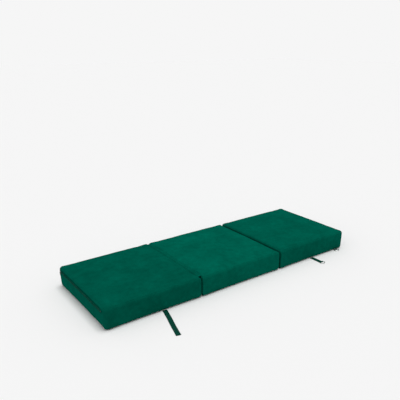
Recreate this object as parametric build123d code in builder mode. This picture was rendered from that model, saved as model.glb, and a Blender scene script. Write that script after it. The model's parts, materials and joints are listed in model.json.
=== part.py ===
from build123d import *
from math import cos, radians, sin, sqrt, tan
import os

os.makedirs("parts", exist_ok=True)

# A guest bed of three foam blocks in velvet covers, lying unfolded on the floor.
# +X runs along the bed from the foot block to the head block, +Z is up, and -Y is the near side.
# The origin is on the floor, under the middle of the bed. Sizes are in millimetres, angles in degrees.

# Blocks and their covers
block_length = 618.0
block_width = 650.0
block_height = 136.0
foot_gap = 6.0
head_gap = 10.0
corner_radius = 24.0
edge_radius = 14.0
width_crown_rise = 3.0
length_crown_rise = 2.4
side_draw = 1.5
seam_inset = 8.0
cover_thickness = 2.0
running_gap = 0.3

# Fabric hinges
hinge_thickness = 1.5
hinge_side_margin = 28.0
hinge_play = 0.45

# Zips
end_zip_margin = 30.0
side_zip_margin = 14.0
zip_edge_distance = 28.0
tape_width = 14.0
tape_thickness = 1.2
chain_end_margin = 6.0
chain_width = 5.0
chain_thickness = 1.8
stop_length = 3.0
slider_length = 12.0
slider_width = 10.0
slider_thickness = 1.4
slider_play = 0.3
ear_thickness = 1.4
ear_width = 3.6
bail_radius = 0.9
bail_play = 0.2
eye_wall = 1.0
pull_length = 20.0
pull_neck_width = 3.4
pull_tip_width = 8.0
pull_thickness = 1.4

# Webbing straps and rings
webbing_width = 28.0
webbing_thickness = 1.6
strap_standoff = 5.0
foot_strap_distance = 360.0
foot_strap_slant = 16.0
foot_strap_rise = 203.0
foot_tail_length = 53.0
fold_play = 0.4
head_strap_distance = 302.0
head_strap_length = 80.0
wire_radius = 2.0
ring_inner_width = 32.0
ring_straight = 3.0
ring_bend_radius = 3.0
corner_ring_distance = 72.0
corner_ring_standoff = 2.5

# Carry handle
handle_length = 244.0
handle_width = 36.0
handle_thickness = 3.0
handle_height = 60.0
handle_droop = 8.0
patch_length = 34.0
patch_width = 42.0
patch_thickness = 1.5

# Places worked out from the sizes above
bed_length = 3 * block_length + foot_gap + head_gap
half_length = block_length / 2
half_width = block_width / 2
foot_x = half_length - bed_length / 2
middle_x = foot_x + block_length + foot_gap
head_x = bed_length / 2 - half_length
top_seam_height = block_height - seam_inset
width_crown_radius = (half_width**2 + width_crown_rise**2) / (2 * width_crown_rise)
length_crown_radius = (half_length**2 + length_crown_rise**2) / (2 * length_crown_rise)
pivot_y = half_width + strap_standoff


def export_piece(part, name):
    """Labels one piece and writes it to its own file."""
    part.label = name
    export_step(part, f"parts/{name}.step")


def drawn_in(offset, half_side):
    """How far a side has drawn in, at an offset from its middle."""
    return side_draw * (1 - (offset / half_side) ** 2)


def crown_drop(crown_radius, offset):
    """How far the crowned top has dropped, at an offset from the block's middle along one crown."""
    return crown_radius - sqrt(crown_radius**2 - offset**2)


def edge_inset(height):
    """How far inside the side a rounded edge lies, at a height from the face that it rounds."""
    return edge_radius - sqrt(edge_radius**2 - (edge_radius - height) ** 2)


# Cushion form: straight foam sides that draw in between the corners, and a top crowned both ways


def crowned_tool(block_x, inset):
    """A solid wider than the block, whose top is crowned along and across the bed."""
    reach, end = half_width + corner_radius, half_length + corner_radius
    with BuildPart() as tool:
        for offset in (-end, 0, end):
            top = block_height - inset - crown_drop(length_crown_radius, offset)
            shoulder = top - crown_drop(width_crown_radius, reach)
            with BuildSketch(Plane.YZ.offset(block_x + offset)):
                with BuildLine():
                    ThreePointArc((-reach, shoulder), (0, top), (reach, shoulder))
                    Line((reach, shoulder), (reach, -corner_radius))
                    Line((reach, -corner_radius), (-reach, -corner_radius))
                    Line((-reach, -corner_radius), (-reach, shoulder))
                make_face()
        loft()
    return tool.part


def cushion(block_x, inset):
    """A block's cushion form, with all of its faces moved in by the inset."""
    x, y = half_length - inset, half_width - inset
    tool = crowned_tool(block_x, inset)
    with BuildPart() as form:
        with BuildSketch(Plane((block_x, 0, inset))):
            with BuildLine():
                ThreePointArc((-x, -y), (0, side_draw - y), (x, -y))
                ThreePointArc((x, -y), (x - side_draw, 0), (x, y))
                ThreePointArc((x, y), (0, y - side_draw), (-x, y))
                ThreePointArc((-x, y), (side_draw - x, 0), (-x, -y))
            make_face()
            fillet(vertices(), corner_radius - inset)
        extrude(amount=block_height)
        add(tool, mode=Mode.INTERSECT)
        rims = form.edges().filter_by(lambda edge: abs(edge.center().Z - block_height / 2) > block_height / 4)
        fillet(rims, edge_radius - inset)
    return form.part


# Zips: each has its own plane on the cover, with X along the zip and Z out of the cover

zip_inset = side_draw / 2
foot_zip_height = block_height - zip_edge_distance
foot_zip = Plane((foot_x - half_length + zip_inset, 0, foot_zip_height), x_dir=(0, -1, 0), z_dir=(-1, 0, 0))
middle_zip = Plane((middle_x, half_width - zip_inset, zip_edge_distance), x_dir=(-1, 0, 0), z_dir=(0, 1, 0))
head_zip = Plane((head_x + half_length - zip_inset, 0, zip_edge_distance), x_dir=(0, 1, 0), z_dir=(1, 0, 0))

end_zip_length = block_width - 2 * end_zip_margin
side_zip_length = block_length - 2 * side_zip_margin
slider_foot = slider_play
slider_ceiling = chain_thickness + slider_play
slider_top = slider_ceiling + slider_thickness
eye_bore = bail_radius + bail_play
eye_radius = eye_bore + eye_wall
bail_height = slider_top + slider_play + eye_radius


def chain_length(zip_length):
    """The length of a chain, from the outer end of one stop to that of the other."""
    return zip_length - 2 * chain_end_margin


def slider_park(zip_length):
    """Where along its closed zip a slider stands, beside the end stop."""
    return (slider_length - chain_length(zip_length)) / 2 + stop_length + slider_play


def across(zip_face, along):
    """The plane square to a zip, at a place along it: X runs up the cover and Y out of it."""
    return Plane(zip_face.origin + zip_face.x_dir * along, x_dir=zip_face.y_dir, z_dir=zip_face.x_dir)


def make_cover(block, block_x, zip_face, zip_length):
    """The foam slab of one block, and the three sewn panels of its cover."""
    export_piece(cushion(block_x, cover_thickness + running_gap), f"{block}_foam_core")
    with BuildPart() as cover:
        add(cushion(block_x, 0))
        add(cushion(block_x, cover_thickness), mode=Mode.SUBTRACT)
    with BuildPart() as top_panel:
        add(cover.part)
        split(bisect_by=Plane.XY.offset(top_seam_height), keep=Keep.TOP)
    export_piece(top_panel.part, f"{block}_top_panel")
    with BuildPart() as bottom_panel:
        add(cover.part)
        split(bisect_by=Plane.XY.offset(seam_inset), keep=Keep.BOTTOM)
    export_piece(bottom_panel.part, f"{block}_bottom_panel")
    with BuildPart() as side_band:
        add(cover.part)
        split(bisect_by=Plane.XY.offset(top_seam_height), keep=Keep.BOTTOM)
        split(bisect_by=Plane.XY.offset(seam_inset), keep=Keep.TOP)
        with BuildSketch(zip_face):
            Rectangle(zip_length + 2 * running_gap, tape_width + 2 * running_gap)
        extrude(amount=cover_thickness + side_draw + running_gap, both=True, mode=Mode.SUBTRACT)
    export_piece(side_band.part, f"{block}_side_band")


def make_zip(block, zip_face, zip_length):
    """The tape, chain and end stops of one zip."""
    with BuildPart() as tape:
        with BuildSketch(zip_face):
            Rectangle(zip_length, tape_width)
        extrude(amount=-tape_thickness)
    export_piece(tape.part, f"{block}_zip_tape")
    with BuildPart() as chain:
        with BuildSketch(zip_face):
            Rectangle(chain_length(zip_length) - 2 * stop_length, chain_width)
        extrude(amount=chain_thickness)
    export_piece(chain.part, f"{block}_zip_chain")
    with BuildPart() as stops:
        with BuildSketch(zip_face):
            with GridLocations(chain_length(zip_length) - stop_length, 0, 2, 1):
                RectangleRounded(stop_length, chain_width, stop_length / 3)
        extrude(amount=chain_thickness)
    export_piece(stops.part, f"{block}_zip_stops")


def make_slider(block, zip_face, park):
    """The slider that rides over the chain, with two ears and the bail that carries the pull."""
    ear_offset = pull_neck_width / 2 + bail_play + ear_thickness / 2
    with BuildPart() as slider:
        with BuildSketch(across(zip_face, park - slider_length / 2)):
            with Locations((0, slider_foot)):
                Rectangle(slider_width, slider_top - slider_foot, align=(Align.CENTER, Align.MIN))
            fillet(vertices().group_by(Axis.Y)[-1], slider_thickness / 2)
            Rectangle(chain_width + 2 * slider_play, 2 * slider_ceiling, mode=Mode.SUBTRACT)
        extrude(amount=slider_length)
        for ear_place in (-ear_offset, ear_offset):
            with BuildSketch(across(zip_face, park + ear_place - ear_thickness / 2)):
                with Locations((0, slider_top - slider_thickness / 2)):
                    ear_height = bail_height + eye_radius - slider_top
                    Rectangle(ear_width, ear_height, align=(Align.CENTER, Align.MIN))
                fillet(vertices().group_by(Axis.Y)[-1], ear_width / 3)
            extrude(amount=ear_thickness)
        with BuildSketch(across(zip_face, park - ear_offset)):
            with Locations((0, bail_height)):
                Circle(bail_radius)
        extrude(amount=2 * ear_offset)
    export_piece(slider.part, f"{block}_zip_slider")


def make_pull(block, zip_face, park):
    """The pull tab: an eye round the bail, and a flat tongue that hangs down and widens to its tip."""
    shoulder, tip = pull_neck_width / 2, pull_tip_width / 2
    with BuildPart() as pull:
        with BuildSketch(across(zip_face, park - shoulder)):
            with Locations((0, bail_height)):
                Circle(eye_radius)
        extrude(amount=pull_neck_width)
        with BuildSketch(zip_face.offset(bail_height - pull_thickness / 2)):
            with Locations((park, 0)):
                Polygon(
                    (-shoulder, 0),
                    (-shoulder, -ear_width),
                    (-tip, tip - pull_length),
                    (-tip, -pull_length),
                    (tip, -pull_length),
                    (tip, tip - pull_length),
                    (shoulder, -ear_width),
                    (shoulder, 0),
                    align=None,
                )
            fillet(vertices().group_by(Axis.Y)[0], tip / 2)
        extrude(amount=pull_thickness)
        with BuildSketch(across(zip_face, park - shoulder)):
            with Locations((0, bail_height)):
                Circle(eye_bore)
        extrude(amount=pull_neck_width, mode=Mode.SUBTRACT)
    export_piece(pull.part, f"{block}_zip_pull")


for block, block_x, zip_face, zip_length in (
    ("foot", foot_x, foot_zip, end_zip_length),
    ("middle", middle_x, middle_zip, side_zip_length),
    ("head", head_x, head_zip, end_zip_length),
):
    make_cover(block, block_x, zip_face, zip_length)
    make_zip(block, zip_face, zip_length)
    make_slider(block, zip_face, slider_park(zip_length))
    make_pull(block, zip_face, slider_park(zip_length))


# Fabric hinges: flat strips sewn between the seams of two neighbouring covers


def hinge_reach(gap, offset, edge_height):
    """How far a strip reaches from the middle of its gap, where a cover's face lies edge_height beyond it."""
    cover_edge = drawn_in(offset, half_width) + edge_inset(edge_height + hinge_thickness / 2)
    return gap / 2 + cover_edge - hinge_play


def make_hinge(name, gap_x, height, middle, end):
    """A strip across one gap, that reaches middle and end from the gap's line at those two places."""
    side = half_width - hinge_side_margin
    with BuildPart() as hinge:
        with BuildSketch(Plane((gap_x, 0, height - hinge_thickness / 2))):
            with BuildLine():
                ThreePointArc((end, -side), (middle, 0), (end, side))
                Line((end, side), (-end, side))
                ThreePointArc((-end, side), (-middle, 0), (-end, -side))
                Line((-end, -side), (end, -side))
            make_face()
        extrude(amount=hinge_thickness)
    export_piece(hinge.part, name)


foot_gap_x = foot_x + half_length + foot_gap / 2
head_gap_x = head_x - half_length - head_gap / 2
hinge_end = half_width - hinge_side_margin
top_edge = seam_inset - crown_drop(length_crown_radius, half_length)
make_hinge(
    "foot_hinge_strip",
    foot_gap_x,
    top_seam_height,
    hinge_reach(foot_gap, 0, top_edge),
    hinge_reach(foot_gap, hinge_end, top_edge - crown_drop(width_crown_radius, hinge_end)),
)
make_hinge(
    "head_hinge_strip",
    head_gap_x,
    seam_inset,
    hinge_reach(head_gap, 0, seam_inset),
    hinge_reach(head_gap, hinge_end, seam_inset),
)


# Webbing: tie straps on the foot block, ring straps on the head block


def tab_start(station, thickness):
    """How far out of the side's widest line a tab begins, tucked under the rounded edge beside the seam."""
    return -drawn_in(station - half_length, half_length) - edge_inset(thickness + running_gap)


def make_tab(name, block_x, station, side, thickness):
    """The fixed end of a strap: from the seam under the block's edge out to the strap's root."""
    start, end = tab_start(station, thickness), strap_standoff - fold_play / 2
    root = Plane((block_x - half_length + station, side * half_width, 0), x_dir=(0, side, 0))
    with BuildPart() as tab:
        with BuildSketch(root):
            with Locations(((start + end) / 2, 0)):
                Rectangle(end - start, webbing_width)
        extrude(amount=thickness)
    export_piece(tab.part, name)


def make_foot_strap(where, side):
    """A tie strap on the floor, slanting back to the foot end, and its tail beyond where it folds."""
    slant = radians(foot_strap_slant)
    half, skew = webbing_width / 2, side * tan(slant) * webbing_width / 2
    start = fold_play / 2 / cos(slant)
    along = (-sin(slant), side * cos(slant), 0)
    root = Plane((foot_x - half_length + foot_strap_distance, side * pivot_y, 0), x_dir=along)
    with BuildPart() as strap:
        with BuildSketch(root):
            Polygon(
                (start + skew, half),
                (foot_strap_rise - fold_play / 2, half),
                (foot_strap_rise - fold_play / 2, -half),
                (start - skew, -half),
                align=None,
            )
        extrude(amount=webbing_thickness)
    export_piece(strap.part, f"{where}_foot_strap")
    with BuildPart() as tail:
        with BuildSketch(root):
            with Locations((foot_strap_rise + fold_play / 2 + foot_tail_length / 2, 0)):
                Rectangle(foot_tail_length, webbing_width)
        extrude(amount=webbing_thickness)
    export_piece(tail.part, f"{where}_foot_strap_tail")


loop_bore = wire_radius + running_gap
loop_radius = loop_bore + webbing_thickness
doubled = 2 * webbing_thickness


def make_loop(name, station_x, side, start, bar):
    """Webbing doubled over, flat on the floor from start out to its loop round a ring's bar."""
    profile = Plane(
        (station_x - side * webbing_width / 2, side * half_width, 0), x_dir=(0, side, 0), z_dir=(side, 0, 0)
    )
    with BuildPart() as loop:
        with BuildSketch(profile):
            with Locations(((start + bar) / 2, doubled / 2)):
                Rectangle(bar - start, doubled)
            with Locations((bar, loop_radius)):
                Circle(loop_radius)
                Circle(loop_bore, mode=Mode.SUBTRACT)
        extrude(amount=webbing_width)
    export_piece(loop.part, name)


def make_ring(name, station_x, side, bar):
    """A D-ring of round wire that lies flat, with its straight bar in the loop and its bow outwards."""
    half = ring_inner_width / 2 + wire_radius
    flat, bow = half - ring_bend_radius, ring_bend_radius + ring_straight
    lying = Plane((station_x, side * (half_width + bar), loop_radius), x_dir=(1, 0, 0), z_dir=(0, 0, side))
    with BuildPart() as ring:
        with BuildLine(lying) as path:
            Line((0, 0), (flat, 0))
            CenterArc((flat, ring_bend_radius), ring_bend_radius, -90, 90)
            Line((half, ring_bend_radius), (half, bow))
            CenterArc((0, bow), half, 0, 90)
        with BuildSketch(Plane(lying.origin, x_dir=(0, side, 0), z_dir=(1, 0, 0))):
            Circle(wire_radius)
        sweep(path=path.wire())
        mirror(about=Plane.YZ.offset(station_x))
    export_piece(ring.part, name)


for where, side in (("near", -1), ("far", 1)):
    make_tab(f"{where}_foot_strap_tab", foot_x, foot_strap_distance, side, webbing_thickness)
    make_foot_strap(where, side)
    head_strap_x = head_x - half_length + head_strap_distance
    head_bar = strap_standoff + head_strap_length
    make_tab(f"{where}_head_strap_tab", head_x, head_strap_distance, side, doubled)
    make_loop(f"{where}_head_strap", head_strap_x, side, strap_standoff + fold_play / 2, head_bar)
    make_ring(f"{where}_head_ring", head_strap_x, side, head_bar)

corner_station = block_length - corner_ring_distance
corner_x = head_x + half_length - corner_ring_distance
make_loop("corner_loop", corner_x, -1, tab_start(corner_station, doubled), corner_ring_standoff)
make_ring("corner_ring", corner_x, -1, corner_ring_standoff)


# Carry handle on the end of the middle block that faces the head block

patch_reach = handle_length / 2 + (patch_width - handle_width) / 2
patch_face_x = middle_x + half_length - drawn_in(patch_reach, half_width) + running_gap
handle_plane = Plane((patch_face_x, 0, handle_height), x_dir=(0, 1, 0), z_dir=(1, 0, 0))

with BuildPart() as patches:
    with BuildSketch(handle_plane):
        with GridLocations(2 * patch_reach - patch_length, 0, 2, 1):
            RectangleRounded(patch_length, patch_width, patch_thickness)
    extrude(amount=patch_thickness)
for place, patch in zip(("near", "far"), patches.solids().sort_by(Axis.Y)):
    export_piece(patch, f"handle_{place}_patch")

with BuildPart() as handle:
    with BuildSketch(handle_plane.offset(patch_thickness)):
        reach, half = handle_length / 2, handle_width / 2
        with BuildLine():
            ThreePointArc((-reach, half), (0, handle_droop + half), (reach, half))
            Line((reach, half), (reach, -half))
            ThreePointArc((reach, -half), (0, handle_droop - half), (-reach, -half))
            Line((-reach, -half), (-reach, half))
        make_face()
        fillet(vertices(), handle_thickness)
    extrude(amount=handle_thickness)
    fillet(handle.faces().sort_by(Axis.X)[-1].edges(), handle_thickness / 3)
export_piece(handle.part, "carry_handle")

print(f"bed {bed_length} long, block centres at {foot_x}, {middle_x} and {head_x}")
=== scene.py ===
import json
from math import cos, pi, radians, sin

import bpy
import numpy as np
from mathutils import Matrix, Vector, noise
from mathutils.bvhtree import BVHTree


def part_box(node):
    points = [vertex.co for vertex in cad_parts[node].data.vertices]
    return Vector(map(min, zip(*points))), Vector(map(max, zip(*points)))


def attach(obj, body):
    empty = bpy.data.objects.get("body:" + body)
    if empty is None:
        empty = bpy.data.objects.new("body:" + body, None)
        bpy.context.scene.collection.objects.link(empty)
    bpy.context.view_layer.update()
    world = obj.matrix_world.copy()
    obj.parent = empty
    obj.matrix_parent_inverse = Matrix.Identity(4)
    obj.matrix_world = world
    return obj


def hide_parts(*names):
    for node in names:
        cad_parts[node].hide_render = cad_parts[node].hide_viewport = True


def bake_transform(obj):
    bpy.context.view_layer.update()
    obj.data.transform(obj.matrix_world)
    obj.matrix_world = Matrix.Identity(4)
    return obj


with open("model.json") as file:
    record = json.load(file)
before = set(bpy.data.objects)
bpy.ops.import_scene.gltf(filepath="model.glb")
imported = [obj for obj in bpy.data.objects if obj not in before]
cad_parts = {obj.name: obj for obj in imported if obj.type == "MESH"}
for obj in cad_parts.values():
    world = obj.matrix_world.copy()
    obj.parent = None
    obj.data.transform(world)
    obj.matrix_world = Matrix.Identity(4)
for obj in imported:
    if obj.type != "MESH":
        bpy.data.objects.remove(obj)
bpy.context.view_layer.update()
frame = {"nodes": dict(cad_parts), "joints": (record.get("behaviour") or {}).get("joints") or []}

# A fold-out guest bed of three velvet foam blocks, lying unfolded on a pale floor.
# All lengths are in metres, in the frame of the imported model.

joints = {joint["name"]: joint for joint in frame["joints"]}
blocks = ("foot", "middle", "head")
sides = (("near", -1), ("far", 1))
up = Vector((0, 0, 1))

# Camera, light and floor
camera_place = (-1.7112, -2.3133, 1.3688)
camera_lens = 42.39
camera_shift = (-0.03245, 0.162)
key_direction, key_strength, key_softness = (-0.15, 0.03, -0.95), 1.5, 30
fill_direction, fill_strength, fill_softness = (0.75, 0.10, -0.5), 0.40, 60
ambient_strength = 0.50
background_shade = 0.921
floor_shade = 0.883
floor_size = 60.0

# Colours, as linear values
velvet_color = (0.0002, 0.093, 0.061)
# Painted light: each block gets a lighter or darker copy of the same velvet, for how the light falls on its
# top
block_painted_light_shares = {"foot": 0.92, "middle": 1.10, "head": 1.0}
# Painted shade: the handle's velvet is darker than the blocks' for the shadow it lies in
handle_painted_shade_share = 0.62
hinge_shade_share = 0.95
tape_shade_share = 0.45
mark_shade_share = 0.74
webbing_color = (0.0006, 0.047, 0.030)
thread_color = (0.001, 0.045, 0.03)
coil_color = (0.001, 0.03, 0.02)
zip_metal_color = (0.09, 0.14, 0.125)
ring_metal_color = (0.60, 0.63, 0.61)

# The brushed mark on the near side, beside the root of the near foot strap
mark_before = 0.055
mark_after = 0.026
mark_fade = 0.012
mark_side = 0.321
mark_side_fade = 0.0025

# Cushions
voxel = 0.007
cloth_frames = 20
swell_cap = 0.0021
mottle_size = 0.085
mottle_depth = 0.0007
ripple_size = 0.022
ripple_depth = 0.00035
loose_edge = 0.12
edge_lumps, lumps_fall = 1.4, 0.6
lumps_sunk_share = 0.4
floor_clearance = 0.0003
cover_corner_radius = 0.024
joint_corner_radius = 0.009
joint_close = 0.0013
joint_reach = 0.03
side_draw = 0.0015
joint_ends = {"foot": (1,), "middle": (-1, 1), "head": (-1,)}
pressed_ends = {"foot": 1, "middle": -1}

# Seams
seam_inset = 0.008
seam_radius = 0.0012
seam_sunk_share = 0.35
seam_step = 0.009
seam_search = 0.03

# Zips
zip_recess = 0.0027
zip_half_height = 0.0075
zip_fade = 0.006
zip_end_reach = 0.004
zip_face_depth = 0.02
lip_offset = 0.0052
lip_end_spread = 0.0014
lip_radius = 0.0016
lip_depth = 0.0002
lip_wave, lip_wave_size = 0.0005, 0.05
lip_squeeze = 1.3
lip_steps = 80
zip_stitch_offset = 0.0088
zip_stitch_pitch = 0.0046
zip_stitch_size = (0.0034, 0.0007, 0.0006)
tooth_pitch = 0.0017
tooth_size = (0.0034, 0.0014, 0.0015)
tooth_offset = 0.0007
tooth_height = 0.0009
tooth_margin = 0.001
tooth_lean_share = 0.16

# Fabric hinges
hinge_columns, hinge_rows = 16, 120
hinge_half_thickness = 0.00045
hinge_end_fade = 0.05
hinge_pucker, hinge_pucker_size = 0.0004, 0.018
hinge_crown_edge, hinge_crown_fade = 0.9, 0.5
hinge_dip_share, hinge_dip_half = 0.3, 0.25

# Webbing
webbing_half_width = 0.014
webbing_thickness = 0.0016
selvedge = 0.0022
thread_pitch, rib_pitch = 0.0022, 0.0019
wire_radius = 0.002

# Foot straps
tuck_steps, join_steps, hem_steps = 10, 30, 8
strap_join = 0.030
strap_step = 0.0025
strap_lift, strap_lift_size = 0.0010, 0.07
strap_drift, strap_drift_size = 0.0012, 0.11
fold_flat = 0.012
tail_fade, fold_fade, join_fade, drift_fade = 0.03, 0.08, 0.03, 0.05
hem_length = 0.012
hem_height = 0.0020
hem_share = 0.985
hem_stitch_insets = (0.003, 0.010)
hem_stitch_height = 0.0028
hem_stitch_reach = 0.0125
hem_stitch_pitch = 0.0031
hem_stitch_size = (0.0023, 0.0007, 0.0006)

# Webbing loops and D-rings
loop_height = 0.0039
loop_radius = 0.0031
loop_closing = 0.012
loop_straight_least = 0.014
loop_step = 0.003
loop_rise_steps = 6
loop_top_turn = 150
loop_stitch_least = 0.03
loop_stitch_height = 0.0001
loop_stitch_half_width = 0.0115
loop_stitch_near, loop_stitch_far = 0.034, 0.014
loop_stitch_pitch = 0.0032
loop_stitch_size = (0.0024, 0.0008, 0.0006)
ring_bend, ring_bow = 0.003, 0.006
ring_bar_steps = 12

# Carry handle
handle_steps = 96
handle_hem = 0.003
handle_free_fade = 0.04
handle_bow = 0.0008
handle_wave, handle_wave_size = 0.0004, 0.03
handle_roll_share, handle_roll_size = 0.03, 0.05
handle_end_share = 0.90
handle_end_fade = 0.004
handle_selvedge, handle_selvedge_share = 0.004, 0.80
handle_stitch_depth = 0.0001
handle_stitch_inset = 0.006
handle_stitch_reach = 0.013
handle_stitch_pitch = 0.0036
handle_stitch_size = (0.0027, 0.0008, 0.0007)


def smooth(value):
    """A smooth step from 0 to 1."""
    t = max(0.0, min(1.0, value))
    return t * t * (3 - 2 * t)


def smooth_all(values):
    """A smooth step from 0 to 1, for a whole array."""
    t = np.clip(values, 0, 1)
    return t * t * (3 - 2 * t)


def wobble(place, size):
    """Smooth noise from -1 to 1 whose lumps are about size across."""
    return noise.noise(Vector(place) / size)


# Materials


def start_material(name, roughness):
    """A new material: its node tree, its shader and the object-space coordinates."""
    material = bpy.data.materials.new(name)
    material.use_nodes = True
    nodes, links = material.node_tree.nodes, material.node_tree.links
    shader = nodes["Principled BSDF"]
    shader.inputs["Roughness"].default_value = roughness
    coordinates = nodes.new("ShaderNodeTexCoord")
    return material, nodes, links, shader, coordinates


def noise_node(nodes, links, vector, scale, detail=2.0):
    """Smooth noise from 0 to 1 over a vector."""
    node = nodes.new("ShaderNodeTexNoise")
    node.inputs["Scale"].default_value = scale
    node.inputs["Detail"].default_value = detail
    links.new(vector, node.inputs["Vector"])
    return node.outputs["Fac"]


def ramp_node(nodes, links, factor, low, high, low_color, high_color):
    """One colour below low, another above high, and a blend between."""
    node = nodes.new("ShaderNodeValToRGB")
    first, last = node.color_ramp.elements
    first.position, last.position = low, high
    first.color, last.color = (*low_color, 1), (*high_color, 1)
    links.new(factor, node.inputs["Fac"])
    return node.outputs["Color"]


def math_node(nodes, links, operation, first, second=None):
    """One operation on numbers or sockets."""
    node = nodes.new("ShaderNodeMath")
    node.operation = operation
    for place, value in enumerate((first, second)):
        if value is None:
            continue
        if isinstance(value, (int, float)):
            node.inputs[place].default_value = value
        else:
            links.new(value, node.inputs[place])
    return node.outputs[0]


def mix_colors(nodes, links, blend_type, factor, first, second):
    """Two colours, given as tuples or sockets, mixed by a factor."""
    node = nodes.new("ShaderNodeMix")
    node.data_type = "RGBA"
    node.blend_type = blend_type
    if isinstance(factor, (int, float)):
        node.inputs["Factor"].default_value = factor
    else:
        links.new(factor, node.inputs["Factor"])
    for socket, value in ((node.inputs[6], first), (node.inputs[7], second)):
        if isinstance(value, tuple):
            socket.default_value = (*value, 1)
        else:
            links.new(value, socket)
    return node.outputs[2]


def bump_node(nodes, links, height, strength, distance, normal=None):
    """Fine relief from a height, on top of another normal if one is given."""
    node = nodes.new("ShaderNodeBump")
    node.inputs["Strength"].default_value = strength
    node.inputs["Distance"].default_value = distance
    links.new(height, node.inputs["Height"])
    if normal is not None:
        links.new(normal, node.inputs["Normal"])
    return node.outputs["Normal"]


def shaded(color, share):
    """A colour made darker or lighter."""
    return tuple(part * share for part in color)


def velvet(name, share, pressed=None):
    """Short-pile velvet: brushed patches, fine pile, a soft sheen, and a pressed mark if a box is given."""
    material, nodes, links, shader, coordinates = start_material(name, roughness=0.86)
    place = coordinates.outputs["Object"]
    base = shaded(velvet_color, share)
    brushed = noise_node(nodes, links, place, scale=7.5, detail=4.0)
    color = ramp_node(nodes, links, brushed, 0.30, 0.72, shaded(base, 0.86), shaded(base, 1.14))
    streaks = noise_node(nodes, links, place, scale=34.0, detail=3.0)
    streak_color = ramp_node(nodes, links, streaks, 0.32, 0.70, (0.86,) * 3, (1.12,) * 3)
    color = mix_colors(nodes, links, "MULTIPLY", 0.75, color, streak_color)
    pile = noise_node(nodes, links, place, scale=900.0, detail=1.0)
    pile_color = ramp_node(nodes, links, pile, 0.30, 0.72, (0.80,) * 3, (1.16,) * 3)
    color = mix_colors(nodes, links, "MULTIPLY", 0.6, color, pile_color)
    if pressed:
        separate = nodes.new("ShaderNodeSeparateXYZ")
        links.new(place, separate.inputs[0])
        low, high, fade = pressed
        edges = noise_node(nodes, links, place, scale=60.0, detail=2.0)
        shifted = math_node(
            nodes, links, "ADD", separate.outputs["X"], math_node(nodes, links, "MULTIPLY", edges, fade)
        )
        enters = math_node(nodes, links, "DIVIDE", math_node(nodes, links, "SUBTRACT", shifted, low), fade)
        leaves = math_node(nodes, links, "DIVIDE", math_node(nodes, links, "SUBTRACT", high, shifted), fade)
        inside = math_node(nodes, links, "MINIMUM", enters, leaves)
        beyond = math_node(nodes, links, "ADD", separate.outputs["Y"], mark_side)
        onside = math_node(nodes, links, "MULTIPLY", beyond, -1 / mark_side_fade)
        inside = math_node(nodes, links, "MINIMUM", inside, onside)
        inside = math_node(nodes, links, "MAXIMUM", math_node(nodes, links, "MINIMUM", inside, 1.0), 0.0)
        color = mix_colors(nodes, links, "MULTIPLY", inside, color, (mark_shade_share,) * 3)
    links.new(color, shader.inputs["Base Color"])
    shader.inputs["Sheen Weight"].default_value = 0.10
    shader.inputs["Sheen Roughness"].default_value = 0.35
    shader.inputs["Sheen Tint"].default_value = (0.0, 0.75, 0.55, 1)
    shader.inputs["Specular IOR Level"].default_value = 0.0
    wide = bump_node(nodes, links, streaks, strength=0.25, distance=0.0012)
    fine = bump_node(nodes, links, pile, strength=0.35, distance=0.0004, normal=wide)
    links.new(fine, shader.inputs["Normal"])
    return material


def woven(name, color):
    """Woven webbing: ribs across, threads along, both from the strip's own length and width in metres."""
    material, nodes, links, shader, coordinates = start_material(name, roughness=0.8)
    separate = nodes.new("ShaderNodeSeparateXYZ")
    links.new(coordinates.outputs["UV"], separate.inputs[0])
    along = math_node(nodes, links, "MULTIPLY", separate.outputs["X"], 2 * pi / rib_pitch)
    across = math_node(nodes, links, "MULTIPLY", separate.outputs["Y"], 2 * pi / thread_pitch)
    shift = math_node(nodes, links, "MULTIPLY", across, 0.5)
    ribs = math_node(nodes, links, "SINE", math_node(nodes, links, "ADD", along, shift))
    threads = math_node(nodes, links, "SINE", across)
    weave = math_node(nodes, links, "MULTIPLY", ribs, threads)
    height = math_node(nodes, links, "ADD", math_node(nodes, links, "MULTIPLY", weave, 0.5), 0.5)
    # Painted shade and highlight: the webbing is darker where the weave is low and lighter where it is high
    weave_painted_light = ramp_node(nodes, links, height, 0.15, 0.9, shaded(color, 0.70), shaded(color, 1.32))
    worn = noise_node(nodes, links, coordinates.outputs["Object"], scale=42.0, detail=3.0)
    worn_color = ramp_node(nodes, links, worn, 0.35, 0.70, (0.84,) * 3, (1.16,) * 3)
    mixed = mix_colors(nodes, links, "MULTIPLY", 0.8, weave_painted_light, worn_color)
    links.new(mixed, shader.inputs["Base Color"])
    shader.inputs["Specular IOR Level"].default_value = 0.06
    relief = bump_node(nodes, links, height, strength=0.6, distance=0.0005)
    links.new(relief, shader.inputs["Normal"])
    return material


def plastic(name, color):
    """Dull moulded plastic or waxed thread with a fine grain."""
    material, nodes, links, shader, coordinates = start_material(name, roughness=0.55)
    shader.inputs["Specular IOR Level"].default_value = 0.12
    grain = noise_node(nodes, links, coordinates.outputs["Object"], scale=300.0, detail=2.0)
    grain_color = ramp_node(nodes, links, grain, 0.3, 0.7, shaded(color, 0.8), shaded(color, 1.2))
    links.new(grain_color, shader.inputs["Base Color"])
    relief = bump_node(nodes, links, grain, strength=0.1, distance=0.0002)
    links.new(relief, shader.inputs["Normal"])
    return material


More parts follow.
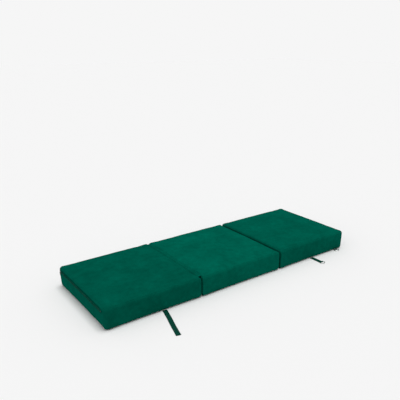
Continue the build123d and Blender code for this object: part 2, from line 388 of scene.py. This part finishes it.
def metal(name, color, roughness):
    """Plated metal with faint scratches and patches of wear."""
    material, nodes, links, shader, coordinates = start_material(name, roughness)
    shader.inputs["Metallic"].default_value = 1.0
    wear = noise_node(nodes, links, coordinates.outputs["Object"], scale=180.0, detail=4.0)
    wear_color = ramp_node(nodes, links, wear, 0.3, 0.7, shaded(color, 0.82), color)
    links.new(wear_color, shader.inputs["Base Color"])
    rough = nodes.new("ShaderNodeMapRange")
    rough.inputs["To Min"].default_value = roughness * 0.8
    rough.inputs["To Max"].default_value = roughness * 1.5
    links.new(wear, rough.inputs["Value"])
    links.new(rough.outputs["Result"], shader.inputs["Roughness"])
    relief = bump_node(nodes, links, wear, strength=0.06, distance=0.0002)
    links.new(relief, shader.inputs["Normal"])
    return material


strap_root = Vector(joints["near_foot_strap_lift"]["pos_m"])
foot_mark = (strap_root.x - mark_before, strap_root.x + mark_after, mark_fade)
# Each block's cover is a lighter or darker copy of one velvet: painted light
covers = {
    "foot": velvet("velvet_foot", block_painted_light_shares["foot"], foot_mark),
    "middle": velvet("velvet_middle", block_painted_light_shares["middle"]),
    "head": velvet("velvet_head", block_painted_light_shares["head"]),
}
hinge_velvet = velvet("velvet_hinge", hinge_shade_share)
# The handle's velvet is a darker copy of the cover velvet: painted shade
handle_painted_shade_velvet = velvet("velvet_handle_painted_shade", handle_painted_shade_share)
webbing = woven("webbing", webbing_color)
tape_weave = velvet("zip_tape_weave", tape_shade_share)
thread = plastic("thread", thread_color)
coil = plastic("zip_coil", coil_color)
zip_metal = metal("zip_metal", zip_metal_color, roughness=0.38)
ring_metal = metal("ring_metal", ring_metal_color, roughness=0.20)


# Mesh helpers


def new_piece(name, points, faces, material, body=None):
    """A smooth mesh piece, riding on a body if one is named."""
    mesh = bpy.data.meshes.new(name)
    mesh.from_pydata([tuple(point) for point in points], [], faces)
    mesh.polygons.foreach_set("use_smooth", [True] * len(mesh.polygons))
    mesh.materials.append(material)
    mesh.update()
    piece = bpy.data.objects.new(name, mesh)
    bpy.context.scene.collection.objects.link(piece)
    if body:
        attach(piece, body)
    return piece


def strip(name, rows, profile, material, body=None):
    """A band swept through rows of (place, across, out); its UVs hold the length and width in metres."""
    count = len(profile)
    points, lengths = [], [0.0]
    for number, (place, across, out) in enumerate(rows):
        points += [place + across * a + out * b for a, b in profile]
        if number:
            lengths.append(lengths[-1] + (place - rows[number - 1][0]).length)
    faces = []
    for row in range(len(rows) - 1):
        first, second = row * count, (row + 1) * count
        for corner in range(count):
            after = (corner + 1) % count
            faces.append((first + corner, first + after, second + after, second + corner))
    faces.append(tuple(reversed(range(count))))
    faces.append(tuple(range((len(rows) - 1) * count, len(rows) * count)))
    piece = new_piece(name, points, faces, material)
    layer = piece.data.uv_layers.new(name="UVMap")
    width = max(a for a, b in profile)
    for loop in piece.data.loops:
        row, corner = divmod(loop.vertex_index, count)
        across_length = rows[row][1].length
        layer.data[loop.index].uv = (lengths[row], (profile[corner][0] + width) * across_length)
    if body:
        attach(piece, body)
    return piece


def flat_profile(half_width, thickness, edge, edge_share=1.0, steps=4):
    """A flat band's outline with rounded rims, whose edges are thicker or thinner than its middle."""
    half = thickness / 2
    rim = half * 0.6
    tops = [(-half_width, 0.0), (-half_width + rim * 0.4, half * edge_share * 0.7)]
    tops.append((-half_width + rim, half * edge_share))
    tops.append((-half_width + edge, half * edge_share))
    inner = half_width - edge * 1.25
    tops += [(-inner + 2 * inner * step / steps, half * 0.86) for step in range(steps + 1)]
    tops.append((half_width - edge, half * edge_share))
    tops.append((half_width - rim, half * edge_share))
    tops.append((half_width - rim * 0.4, half * edge_share * 0.7))
    bottoms = [(-a, -b) for a, b in tops]
    return tops + bottoms


def tube(name, path, radius, material, body=None, closed=False, corners=12, squeeze=1.0):
    """A round tube along a path of points; squeeze flattens it along Z."""
    points, faces, count = [], [], len(path)
    normal = None
    for number, place in enumerate(path):
        before = path[number - 1] if number or closed else place
        after = path[(number + 1) % count] if number < count - 1 or closed else place
        ahead = (after - before).normalized()
        if normal is None:
            normal = ahead.orthogonal().normalized()
        normal = (normal - ahead * normal.dot(ahead)).normalized()
        side = ahead.cross(normal)
        for corner in range(corners):
            angle = 2 * pi * corner / corners
            offset = normal * cos(angle) * radius + side * sin(angle) * radius
            offset.z *= squeeze
            points.append(place + offset)
    rounds = count if closed else count - 1
    for row in range(rounds):
        first, second = row * corners, (row + 1) % count * corners
        for corner in range(corners):
            after = (corner + 1) % corners
            faces.append((first + corner, second + corner, second + after, first + after))
    if not closed:
        faces.append(tuple(range(corners)))
        faces.append(tuple(reversed(range((count - 1) * corners, count * corners))))
    return new_piece(name, points, faces, material, body)


def bean(length, width, height, corners=6):
    """A small closed capsule along X: its points and faces."""
    points, faces = [], []
    stations = ((-0.5, 0.35), (-0.36, 0.85), (0.0, 1.0), (0.36, 0.85), (0.5, 0.35))
    for station, share in stations:
        for corner in range(corners):
            angle = 2 * pi * corner / corners
            y, z = cos(angle) * width / 2 * share, sin(angle) * height / 2 * share
            points.append((station * length, y, z))
    for row in range(len(stations) - 1):
        for corner in range(corners):
            after = (corner + 1) % corners
            first, second = row * corners, (row + 1) * corners
            faces.append((first + corner, second + corner, second + after, first + after))
    faces.append(tuple(range(corners)))
    faces.append(tuple(reversed(range((len(stations) - 1) * corners, len(stations) * corners))))
    return points, faces


def beans(name, spots, size, material, body=None):
    """Many small capsules as one piece, each at (place, direction along, direction out)."""
    base_points, base_faces = bean(*size)
    points, faces = [], []
    for place, along, out in spots:
        side = out.cross(along)
        offset = len(points)
        points += [place + along * x + side * y + out * z for x, y, z in base_points]
        faces += [tuple(index + offset for index in face) for face in base_faces]
    return new_piece(name, points, faces, material, body)


def stitch_line(start, end, out, pitch):
    """Places for a row of stitches from start to end."""
    run = end - start
    count = max(1, int(run.length / pitch))
    along = run.normalized()
    return [(start + run * ((number + 0.5) / count), along, out) for number in range(count)]


def baked_mesh(piece):
    """The piece's mesh with its modifiers applied, and no modifier left on it."""
    graph = bpy.context.evaluated_depsgraph_get()
    mesh = bpy.data.meshes.new_from_object(piece.evaluated_get(graph))
    piece.modifiers.clear()
    piece.data = mesh
    return mesh


def read_points(mesh):
    """A mesh's points as an array with one row each."""
    points = np.zeros(len(mesh.vertices) * 3)
    mesh.vertices.foreach_get("co", points)
    return points.reshape(-1, 3)


# Cushions: remeshed foam blocks whose loose covers are swelled by a cloth simulation


def zip_face(block):
    """A zip's middle, its direction along, and its direction out of the cover."""
    low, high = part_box(f"{block}_zip_tape")
    middle = (low + high) / 2
    travel = Vector(joints[f"{block}_zip_travel"]["axis"])
    out = travel.cross(up)
    core_low, core_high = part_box(f"{block}_foam_core")
    if out.dot(middle - (core_low + core_high) / 2) < 0:
        out = -out
    middle += out * (max(abs(out.x * (high.x - low.x)), abs(out.y * (high.y - low.y))) / 2)
    return middle, travel, out


def swell(piece):
    """Cloth under light pressure, kept close to the shape that it starts from."""
    start = read_points(piece.data)
    cloth = piece.modifiers.new("cloth", "CLOTH")
    cloth.settings.quality = 4
    cloth.settings.mass = 0.25
    cloth.settings.tension_stiffness = 12
    cloth.settings.compression_stiffness = 6
    cloth.settings.shear_stiffness = 4
    cloth.settings.bending_stiffness = 0.6
    cloth.settings.shrink_min = -0.035
    cloth.settings.use_pressure = True
    cloth.settings.uniform_pressure_force = 4
    cloth.settings.effector_weights.gravity = 0
    cloth.collision_settings.use_collision = False
    cloth.point_cache.frame_start = 1
    cloth.point_cache.frame_end = cloth_frames
    for moment in range(1, cloth_frames + 1):
        bpy.context.scene.frame_set(moment)
    mesh = baked_mesh(piece)
    bpy.context.scene.frame_set(1)
    moved = read_points(mesh) - start
    size = np.linalg.norm(moved, axis=1, keepdims=True) + 1e-9
    kept = start + moved * (swell_cap / (swell_cap + size))
    mesh.vertices.foreach_set("co", kept.ravel())
    mesh.update()


def square_corner(points, face, end, edge, side):
    """Draws one upright corner of a cover out to a sharper one."""
    radius = cover_corner_radius
    u = (points[:, 0] - face) * end + radius
    v = (points[:, 1] - edge) * side + radius
    length = np.hypot(u, v) + 1e-9
    most, least = np.maximum(u, v) / length, np.minimum(u, v) / length
    inner = radius - joint_corner_radius
    arc = inner * (most + least)
    arc += np.sqrt(np.maximum(0, arc**2 - 2 * inner**2 + joint_corner_radius**2))
    bound = np.where(radius * least <= inner * most, radius / np.maximum(most, 0.5), arc)
    growth = np.where((u > 0) & (v > 0), bound / radius, 1) - 1
    points[:, 0] += u * growth * end
    points[:, 1] += v * growth * side


def press_joints(points, block):
    """Sharpens a cover's upright corners at a joint, and draws its face close at the top hinge."""
    low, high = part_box(f"{block}_side_band")
    for end in joint_ends[block]:
        face = high.x if end > 0 else low.x
        for side in (-1, 1):
            square_corner(points, face, end, high.y if side > 0 else low.y, side)
        if pressed_ends.get(block) == end:
            near = smooth_all(1 - (face - points[:, 0]) * end / joint_reach)
            bow = joint_close + side_draw * (1 - (points[:, 1] / high.y) ** 2)
            points[:, 0] += bow * near * end


def roughen(piece, block):
    """Soft lumps of the loose cover, and a recess where the zip is sewn in."""
    middle, along, out = zip_face(block)
    tape_low, tape_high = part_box(f"{block}_zip_tape")
    half_length = (tape_high - tape_low).length / 2
    low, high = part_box(f"{block}_top_panel")
    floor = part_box(f"{block}_bottom_panel")[0].z
    points = read_points(piece.data)
    normals = np.zeros(len(points) * 3)
    piece.data.vertex_normals.foreach_get("vector", normals)
    normals = normals.reshape(-1, 3)
    lumps = np.array([
        wobble(place, mottle_size) * mottle_depth + wobble(place, ripple_size) * ripple_depth
        for place in points.tolist()
    ])
    press_joints(points, block)
    x, y = points[:, 0], points[:, 1]
    edge = np.minimum(np.minimum(x - low.x, high.x - x), np.minimum(y - low.y, high.y - y))
    loose = edge_lumps - lumps_fall * smooth_all(edge / loose_edge)
    points += normals * (lumps * loose - mottle_depth * lumps_sunk_share)[:, None]
    offset = points - np.array(middle)
    depth = offset @ np.array(out)
    weight = smooth_all((zip_half_height + zip_fade - np.abs(offset[:, 2])) / zip_fade)
    from_middle = np.abs(offset @ np.array(along))
    weight *= smooth_all((half_length + zip_end_reach - from_middle) / zip_fade)
    weight *= depth > -zip_face_depth
    points -= np.array(out) * (np.maximum(0.0, depth + zip_recess) * weight)[:, None]
    points[:, 2] = np.maximum(points[:, 2], floor + floor_clearance)
    piece.data.vertices.foreach_set("co", points.ravel())
    piece.data.update()


def make_cushion(block):
    """One foam block in its loose velvet cover."""
    core = frame["nodes"][f"{block}_foam_core"]
    mesh = core.data.copy()
    mesh.materials.clear()
    piece = bpy.data.objects.new(f"{block}_cushion", mesh)
    bpy.context.scene.collection.objects.link(piece)
    piece.matrix_world = core.matrix_world.copy()
    weld = piece.modifiers.new("weld", "WELD")
    weld.merge_threshold = 0.00002
    remesh = piece.modifiers.new("remesh", "REMESH")
    remesh.mode = "VOXEL"
    remesh.voxel_size = voxel
    baked_mesh(piece)
    relax = piece.modifiers.new("relax", "SMOOTH")
    relax.factor = 0.5
    relax.iterations = 3
    baked_mesh(piece)
    swell(piece)
    soften = piece.modifiers.new("soften", "SMOOTH")
    soften.factor = 0.35
    soften.iterations = 2
    divide = piece.modifiers.new("divide", "SUBSURF")
    divide.levels = divide.render_levels = 1
    mesh = baked_mesh(piece)
    mesh.name = piece.name
    roughen(piece, block)
    mesh.polygons.foreach_set("use_smooth", [True] * len(mesh.polygons))
    mesh.materials.clear()
    mesh.materials.append(covers[block])
    mesh.update()
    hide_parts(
        *(f"{block}_{part}" for part in ("foam_core", "top_panel", "side_band", "bottom_panel"))
    )
    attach(piece, f"{block}_block")
    return piece


def perimeter(low, high, radius, step):
    """Points round a rounded rectangle, with the direction out at each."""
    places = []
    for corner_x, corner_y, first in (
        (high.x - radius, high.y - radius, 0),
        (low.x + radius, high.y - radius, 90),
        (low.x + radius, low.y + radius, 180),
        (high.x - radius, low.y + radius, 270),
    ):
        for turn in range(0, 91, 9):
            angle = radians(first + turn)
            out = Vector((cos(angle), sin(angle), 0))
            places.append((Vector((corner_x, corner_y, 0)) + out * radius, out))
    filled = []
    for number, (place, out) in enumerate(places):
        after, after_out = places[(number + 1) % len(places)]
        parts = max(1, int((after - place).length / step))
        filled += [
            (place.lerp(after, part / parts), out.lerp(after_out, part / parts).normalized())
            for part in range(parts)
        ]
    return filled


def make_seams(block, cushion):
    """The two sewn edges of a cover, as narrow welts lying on the cushion."""
    tree = BVHTree.FromPolygons(
        [vertex.co for vertex in cushion.data.vertices],
        [tuple(face.vertices) for face in cushion.data.polygons],
    )
    low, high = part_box(f"{block}_side_band")
    for label, height in (("top", high.z), ("bottom", seam_inset)):
        path = []
        for place, out in perimeter(low, high, cover_corner_radius, seam_step):
            start = Vector((place.x, place.y, height)) + out * seam_search
            hit = tree.ray_cast(start, -out, 3 * seam_search)[0]
            if hit is not None:
                path.append(hit - out * seam_radius * seam_sunk_share)
        tube(
            f"{block}_{label}_seam", path, seam_radius, covers[block], f"{block}_block",
            closed=True, corners=8,
        )


cushions = {}
for block in blocks:
    cushions[block] = make_cushion(block)
    make_seams(block, cushions[block])


# Zips: velvet lips, a row of stitches each side, and two interlocked rows of coils


def make_zip(block):
    """One zip: rolled velvet lips beside its stitched tape, coil teeth, and metal slider and stops."""
    middle, along, out = zip_face(block)
    low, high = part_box(f"{block}_zip_chain")
    chain = (high - low).length / 2
    tape_low, tape_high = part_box(f"{block}_zip_tape")
    reach = (tape_high - tape_low).length / 2
    body = f"{block}_block"
    for label, side in (("upper", 1), ("lower", -1)):
        path = []
        for step in range(lip_steps + 1):
            offset = -reach + 2 * reach * step / lip_steps
            bulge = wobble((offset, side, middle.x), lip_wave_size) * lip_wave
            ends = smooth((reach - abs(offset)) / zip_fade)
            rise = lip_offset + lip_end_spread * (1 - ends) + bulge
            path.append(middle + along * offset + up * side * rise + out * (lip_depth * ends - lip_depth))
        tube(
            f"{block}_zip_{label}_lip", path, lip_radius, covers[block], body,
            corners=10, squeeze=lip_squeeze,
        )
        row = middle + up * side * zip_stitch_offset + out * lip_depth
        run = along * (reach - zip_end_reach)
        beans(
            f"{block}_zip_{label}_stitches", stitch_line(row - run, row + run, out, zip_stitch_pitch),
            zip_stitch_size, thread, body,
        )
    spots = []
    for number in range(int(2 * (chain - tooth_margin) / tooth_pitch)):
        side = 1 if number % 2 else -1
        offset = -chain + tooth_margin + tooth_pitch * (number + 0.5)
        place = middle + along * offset + up * side * tooth_offset + out * tooth_height
        spots.append((place, (up + along * tooth_lean_share * side).normalized(), out))
    piece = beans(f"{block}_zip_teeth", spots, tooth_size, coil, body)
    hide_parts(f"{block}_zip_chain")
    paint(f"{block}_zip_tape", tape_weave)
    for part in ("stops", "slider", "pull"):
        paint(f"{block}_zip_{part}", zip_metal)


def paint(node, material):
    """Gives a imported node's object its detailed material."""
    piece = frame["nodes"][node]
    for material_slot in piece.material_slots:
        material_slot.material = material


for block in blocks:
    make_zip(block)


# Fabric hinges: soft strips across the gaps between blocks


def hinge_height(share, y, side, rise, end_share):
    """How far a hinge strip stands off its gap's line: share runs from -1 to 1 across, y along it."""
    crown = rise * smooth((hinge_crown_edge - abs(share)) / hinge_crown_fade)
    crown -= rise * hinge_dip_share * smooth((hinge_dip_half - abs(share)) / hinge_dip_half)
    ends = smooth((side - abs(y)) / hinge_end_fade)
    return crown * (end_share + (1 - end_share) * ends)


def make_hinge(node, rise, end_share, overlap):
    """A fabric strip across one gap: sewn down on both blocks, and bowed between them."""
    low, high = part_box(node)
    middle = (low + high) / 2
    columns, rows = hinge_columns, hinge_rows
    half = (high.x - low.x) / 2 + overlap
    points, faces = [], []
    for face_out in (1, -1):
        for row in range(rows + 1):
            y = low.y + (high.y - low.y) * row / rows
            for column in range(columns + 1):
                share = -1 + 2 * column / columns
                pucker = wobble((share * 0.02, y, middle.x), hinge_pucker_size) * hinge_pucker
                height = middle.z + hinge_height(share, y, high.y, rise, end_share)
                height += pucker + face_out * hinge_half_thickness
                points.append((middle.x + share * half, y, height))
    width, layer = columns + 1, (columns + 1) * (rows + 1)
    for row in range(rows):
        for column in range(columns):
            corner = row * width + column
            quad = (corner, corner + 1, corner + width + 1, corner + width)
            faces.append(quad)
            faces.append(tuple(layer + index for index in reversed(quad)))
    rim = [(column, column + 1) for column in range(columns)]
    rim += [(row * width + columns, (row + 1) * width + columns) for row in range(rows)]
    rim += [(rows * width + column + 1, rows * width + column) for column in reversed(range(columns))]
    rim += [((row + 1) * width, row * width) for row in reversed(range(rows))]
    for start, end in rim:
        faces.append((start, layer + start, layer + end, end))
    piece = new_piece(f"{node}_fabric", points, faces, hinge_velvet)
    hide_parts(node)
    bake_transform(piece)


make_hinge("foot_hinge_strip", rise=0.0050, end_share=0.35, overlap=0.008)
make_hinge("head_hinge_strip", rise=-0.0064, end_share=1, overlap=0.002)


# Webbing straps

strap_profile = flat_profile(webbing_half_width, webbing_thickness, selvedge)
unit_profile = [(a / webbing_half_width, b) for a, b in strap_profile]


def make_foot_strap(where, side):
    """A tie strap: its root leaves the bottom seam square, then slants out to a hemmed tail."""
    root = Vector(joints[f"{where}_foot_strap_lift"]["pos_m"])
    fold = Vector(joints[f"{where}_foot_strap_fold"]["pos_m"])
    root.z = webbing_thickness / 2
    fold.z = root.z
    along = (fold - root).normalized()
    outward = Vector((0, side, 0))
    across = Vector((1, 0, 0))
    square = across - along * across.dot(along)
    square.normalize()
    skew = along * across.dot(along) / across.dot(square)
    tab_low, tab_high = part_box(f"{where}_foot_strap_tab")
    tuck = tab_high.y - tab_low.y
    rows = []
    for step in range(tuck_steps):
        place = root - outward * tuck * (1 - step / tuck_steps)
        rows.append((place, across * webbing_half_width, up))
    for step in range(join_steps + 1):
        run = strap_join * step / join_steps
        turn = 1 - smooth(run / strap_join)
        rows.append((root + along * run, (square + skew * turn) * webbing_half_width, up))
    piece = strip(f"{where}_foot_strap_root", rows, unit_profile, webbing)
    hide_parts(f"{where}_foot_strap_tab")
    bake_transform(piece)
    tail_low, tail_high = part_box(f"{where}_foot_strap_tail")
    tail = tail_high - tail_low
    length = (fold - root).length
    tail_length = (tail.y - 2 * webbing_half_width * abs(along.x)) / abs(along.y)
    rows = []
    total = length + tail_length - strap_join
    count = int(total / strap_step)
    for step in range(count + 1):
        run = strap_join + total * step / count
        past_join = run - strap_join
        free = smooth((run - length - fold_flat) / tail_fade)
        free += smooth((length - fold_flat - run) / fold_fade)
        lift = (0.5 + 0.5 * wobble((run, side, 0.3), strap_lift_size)) * strap_lift * free
        lift *= smooth(past_join / join_fade)
        drift = square * wobble((run, 4.0, side), strap_drift_size) * strap_drift
        drift *= smooth(past_join / drift_fade)
        rows.append((root + along * run + up * lift + drift, square * webbing_half_width, up))
    piece = strip(f"{where}_foot_strap_length", rows, unit_profile, webbing)
    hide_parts(f"{where}_foot_strap", f"{where}_foot_strap_tail")
    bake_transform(piece)
    end = root + along * (length + tail_length)
    hem_rows = []
    for step in range(hem_steps + 1):
        run = hem_length * (1 - step / hem_steps)
        place = end - along * run + up * hem_height
        hem_rows.append((place, square * webbing_half_width * hem_share, up))
    strip(f"{where}_foot_strap_hem", hem_rows, unit_profile, webbing, f"{where}_foot_strap_tail")
    spots = []
    for inset in hem_stitch_insets:
        middle = end - along * inset + up * hem_stitch_height
        reach = square * hem_stitch_reach
        spots += stitch_line(middle - reach, middle + reach, up, hem_stitch_pitch)
    beans(
        f"{where}_foot_strap_hem_stitches", spots, hem_stitch_size, thread,
        f"{where}_foot_strap_tail",
    )


def boxed_stitches(corners, out, pitch):
    """Stitches along the four sides and two diagonals of a sewn square."""
    spots = []
    for first, second in ((0, 1), (1, 2), (2, 3), (3, 0), (0, 2), (1, 3)):
        spots += stitch_line(corners[first], corners[second], out, pitch)
    return spots


def make_loop(name, node, tab, x, side, start, bar, blended):
    """Webbing doubled round a ring's bar and stitched to itself."""
    half = webbing_thickness / 2
    center = Vector((x, side * bar, loop_height))
    outward = Vector((0, side, 0))
    across = Vector((1, 0, 0))
    path = []
    runs = max(2, int((bar - start - loop_closing) / loop_step))
    for step in range(runs):
        y = side * (start + (bar - loop_closing - start) * step / runs)
        path.append(Vector((x, y, 3 * half)))
    begin = path[-1]
    if bar - start > loop_straight_least:
        begin = Vector((x, side * (bar - loop_closing), 3 * half))
    first_turn = radians(loop_top_turn)
    top = center + (outward * cos(first_turn) + up * sin(first_turn)) * loop_radius
    for step in range(1, loop_rise_steps):
        share = step / loop_rise_steps
        y = begin.y + (top.y - begin.y) * share
        path.append(Vector((x, y, begin.z + (top.z - begin.z) * smooth(share))))
    for turn in range(loop_top_turn, -91, -15):
        path.append(center + (outward * cos(radians(turn)) + up * sin(radians(turn))) * loop_radius)
    back = max(2, int((bar - start) / loop_step))
    for step in range(1, back + 1):
        path.append(Vector((x, side * (bar - (bar - start) * step / back), half)))
    rows = []
    for number, place in enumerate(path):
        before, after = path[max(0, number - 1)], path[min(len(path) - 1, number + 1)]
        ahead = (after - before).normalized()
        rows.append((place, across * webbing_half_width, across.cross(ahead).normalized() * side))
    piece = strip(name, rows, unit_profile, webbing)
    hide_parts(node, *tab)
    spots = []
    if bar - start > loop_stitch_least:
        height = 4 * half + loop_stitch_height
        near, far = side * (bar - loop_stitch_near), side * (bar - loop_stitch_far)
        left, right = x - loop_stitch_half_width, x + loop_stitch_half_width
        corners = [(left, near, height), (right, near, height), (right, far, height), (left, far, height)]
        spots = boxed_stitches([Vector(corner) for corner in corners], up, loop_stitch_pitch)
    if blended:
        first, second, at = blended
        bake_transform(piece)
        beans(f"{name}_stitches", spots, loop_stitch_size, thread, second)
    else:
        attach(piece, "head_block")


def make_ring(node, body):
    """A bright D-ring of round wire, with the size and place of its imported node."""
    low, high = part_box(node)
    side = 1 if low.y > 0 else -1
    x = (low.x + high.x) / 2
    z = (low.z + high.z) / 2
    bar = min(abs(low.y), abs(high.y)) + wire_radius
    half = (high.x - low.x) / 2 - wire_radius
    bend, bow = ring_bend, ring_bow
    path = []
    for step in range(ring_bar_steps):
        path.append((-half + bend + (2 * half - 2 * bend) * step / ring_bar_steps, 0.0))
    for turn in range(-90, 0, 15):
        path.append((half - bend + bend * cos(radians(turn)), bend + bend * sin(radians(turn))))
    for turn in range(0, 181, 6):
        path.append((half * cos(radians(turn)), bow + half * sin(radians(turn))))
    for turn in range(180, 270, 15):
        path.append((-half + bend + bend * cos(radians(turn)), bend + bend * sin(radians(turn))))
    points = [Vector((x + a, side * (bar + b), z)) for a, b in path]
    piece = tube(
        f"{node}_wire", points, wire_radius, ring_metal, body, closed=True, corners=16
    )
    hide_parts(node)


for where, side in sides:
    make_foot_strap(where, side)
    hang = Vector(joints[f"{where}_head_strap_hang"]["pos_m"])
    bar = abs(joints[f"{where}_head_ring_swivel"]["pos_m"][1])
    tab_low, tab_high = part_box(f"{where}_head_strap_tab")
    start = min(abs(tab_low.y), abs(tab_high.y))
    make_loop(
        f"{where}_head_strap_webbing", f"{where}_head_strap", [f"{where}_head_strap_tab"], hang.x, side,
        start, bar, ("head_block", f"{where}_head_strap", hang.y),
    )
    make_ring(f"{where}_head_ring", f"{where}_head_ring")

corner = Vector(joints["corner_ring_swivel"]["pos_m"])
corner_low, corner_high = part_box("corner_loop")
make_loop(
    "corner_loop_webbing", "corner_loop", [], corner.x, -1,
    min(abs(corner_low.y), abs(corner_high.y)), abs(corner.y), None,
)
make_ring("corner_ring", "corner_ring")


# Carry handle


def make_handle():
    """A soft velvet band that bows between its two sewn patches."""
    low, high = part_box("carry_handle")
    patch_low, patch_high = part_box("handle_near_patch")
    reach = (high.y - low.y) / 2
    half_width = (patch_high.z - patch_low.z) / 2 - handle_hem
    base = (patch_low.z + patch_high.z) / 2
    droop = (high.z - base) - half_width
    thickness = high.x - low.x
    sewn = patch_high.y - patch_low.y
    face = (low.x + high.x) / 2
    rows = []
    for step in range(handle_steps + 1):
        y = -reach + 2 * reach * step / handle_steps
        free = smooth((reach - sewn - abs(y)) / handle_free_fade)
        rise = droop * (1 - (y / reach) ** 2)
        bow = handle_bow * free + wobble((y, 2.0, 5.0), handle_wave_size) * handle_wave * free
        roll = 1 + handle_roll_share * wobble((y, 7.0, 1.0), handle_roll_size)
        end = handle_end_share + (1 - handle_end_share) * smooth((reach - abs(y)) / handle_end_fade)
        place = Vector((face + bow, y, base + rise))
        rows.append((place, up * half_width * roll * end, Vector((-1, 0, 0))))
    profile = flat_profile(half_width, thickness, handle_selvedge, handle_selvedge_share)
    unit = [(a / half_width, b) for a, b in profile]
    piece = strip("carry_handle_band", rows, unit, handle_painted_shade_velvet, "middle_block")
    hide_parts("carry_handle")
    x = high.x - handle_stitch_depth
    spots = []
    for sign in (-1, 1):
        inner, outer = sign * (reach - sewn + handle_stitch_inset), sign * (reach - handle_stitch_inset)
        at_inner, at_outer = (base + droop * (1 - (y / reach) ** 2) for y in (inner, outer))
        corners = [
            Vector((x, inner, at_inner - handle_stitch_reach)),
            Vector((x, outer, at_outer - handle_stitch_reach)),
            Vector((x, outer, at_outer + handle_stitch_reach)),
            Vector((x, inner, at_inner + handle_stitch_reach)),
        ]
        spots += boxed_stitches(corners, Vector((1, 0, 0)), handle_stitch_pitch)
    beans("carry_handle_stitches", spots, handle_stitch_size, thread, "middle_block")
    # The sewn patches get the handle's darker velvet too: painted shade
    for node in ("handle_near_patch", "handle_far_patch"):
        paint(node, handle_painted_shade_velvet)


make_handle()


# Floor, light and camera


def make_floor():
    """A wide pale floor under the bed."""
    mesh = bpy.data.meshes.new("floor")
    half = floor_size / 2
    corners = [(-half, -half, 0), (half, -half, 0), (half, half, 0), (-half, half, 0)]
    mesh.from_pydata(corners, [], [(0, 1, 2, 3)])
    floor = bpy.data.objects.new("floor", mesh)
    bpy.context.scene.collection.objects.link(floor)
    material = bpy.data.materials.new("floor_pale")
    material.use_nodes = True
    shader = material.node_tree.nodes["Principled BSDF"]
    shader.inputs["Base Color"].default_value = (floor_shade,) * 3 + (1,)
    shader.inputs["Roughness"].default_value = 1.0
    shader.inputs["Specular IOR Level"].default_value = 0.0
    mesh.materials.append(material)


def make_sun(name, direction, strength, softness):
    """A soft distant lamp that shines along a direction."""
    lamp = bpy.data.lights.new(name, "SUN")
    lamp.energy = strength
    lamp.angle = radians(softness)
    holder = bpy.data.objects.new(name, lamp)
    holder.rotation_mode = "QUATERNION"
    holder.rotation_quaternion = Vector(direction).to_track_quat("-Z", "Y")
    bpy.context.scene.collection.objects.link(holder)


def make_world(ambient):
    """Soft light from all round, and a pale background for what sees past the floor."""
    world = bpy.data.worlds.new("studio")
    world.use_nodes = True
    nodes, links = world.node_tree.nodes, world.node_tree.links
    shade = nodes["Background"]
    shade.inputs["Color"].default_value = (1, 1, 1, 1)
    shade.inputs["Strength"].default_value = ambient
    pale = nodes.new("ShaderNodeBackground")
    pale.inputs["Color"].default_value = (background_shade,) * 3 + (1,)
    paths = nodes.new("ShaderNodeLightPath")
    seen = nodes.new("ShaderNodeMath")
    seen.operation = "MAXIMUM"
    links.new(paths.outputs["Is Camera Ray"], seen.inputs[0])
    links.new(paths.outputs["Is Glossy Ray"], seen.inputs[1])
    through = nodes.new("ShaderNodeMath")
    through.operation = "MAXIMUM"
    links.new(seen.outputs[0], through.inputs[0])
    links.new(paths.outputs["Is Transmission Ray"], through.inputs[1])
    mix = nodes.new("ShaderNodeMixShader")
    links.new(through.outputs[0], mix.inputs["Fac"])
    links.new(shade.outputs[0], mix.inputs[1])
    links.new(pale.outputs[0], mix.inputs[2])
    links.new(mix.outputs[0], nodes["World Output"].inputs["Surface"])
    bpy.context.scene.world = world


def make_camera():
    """The camera that sees the bed from its near corner, as in the photo."""
    lens = bpy.data.cameras.new("camera")
    lens.lens = camera_lens
    lens.sensor_width = 36
    lens.shift_x, lens.shift_y = camera_shift
    camera = bpy.data.objects.new("camera", lens)
    camera.location = camera_place
    camera.rotation_mode = "QUATERNION"
    camera.rotation_quaternion = (-Vector(camera_place)).to_track_quat("-Z", "Y")
    bpy.context.scene.collection.objects.link(camera)
    bpy.context.scene.camera = camera


make_floor()
make_sun("key", key_direction, key_strength, key_softness)
make_sun("fill", fill_direction, fill_strength, fill_softness)
make_world(ambient_strength)
make_camera()
bpy.context.scene.view_settings.view_transform = "Standard"
